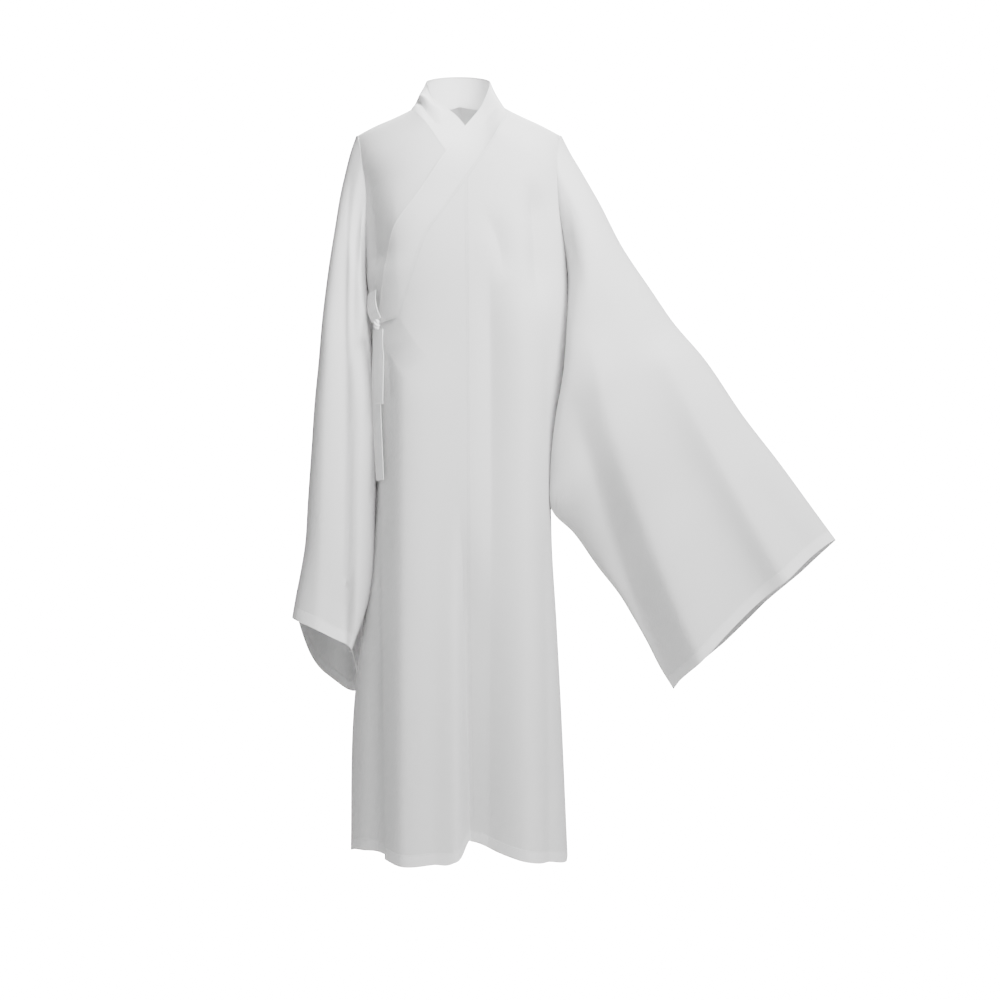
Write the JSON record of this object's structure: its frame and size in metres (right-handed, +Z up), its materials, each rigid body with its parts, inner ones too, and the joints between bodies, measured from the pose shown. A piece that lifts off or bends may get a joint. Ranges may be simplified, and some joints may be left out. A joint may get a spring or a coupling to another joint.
{
  "type": "hanfu robe",
  "caption": "Long white wrap robe with a crossed collar band, wide open sleeves and side ties, filled out as worn.",
  "frame": {"origin": "middle of the neck's base, level with where the shoulders hold the robe", "axes": "+Z up, the front faces -Y, the wearer's left is +X"},
  "size_m": [0.9706, 0.3412, 1.416],
  "materials": {
    "robe_cloth": "matte",
    "collar_cloth": "matte",
    "tie_cloth": "matte"
  },
  "bodies": {
    "root": {"back": "robe_cloth", "over_front_main": "robe_cloth", "over_front_lap": "robe_cloth", "under_front": "robe_cloth", "left_sleeve": "robe_cloth", "right_sleeve": "robe_cloth", "collar_band": "collar_cloth", "tie_side": "tie_cloth", "tie_knot": "tie_cloth", "tie_front_tail": "tie_cloth", "tie_back_tail": "tie_cloth"}
  },
  "joints": []
}
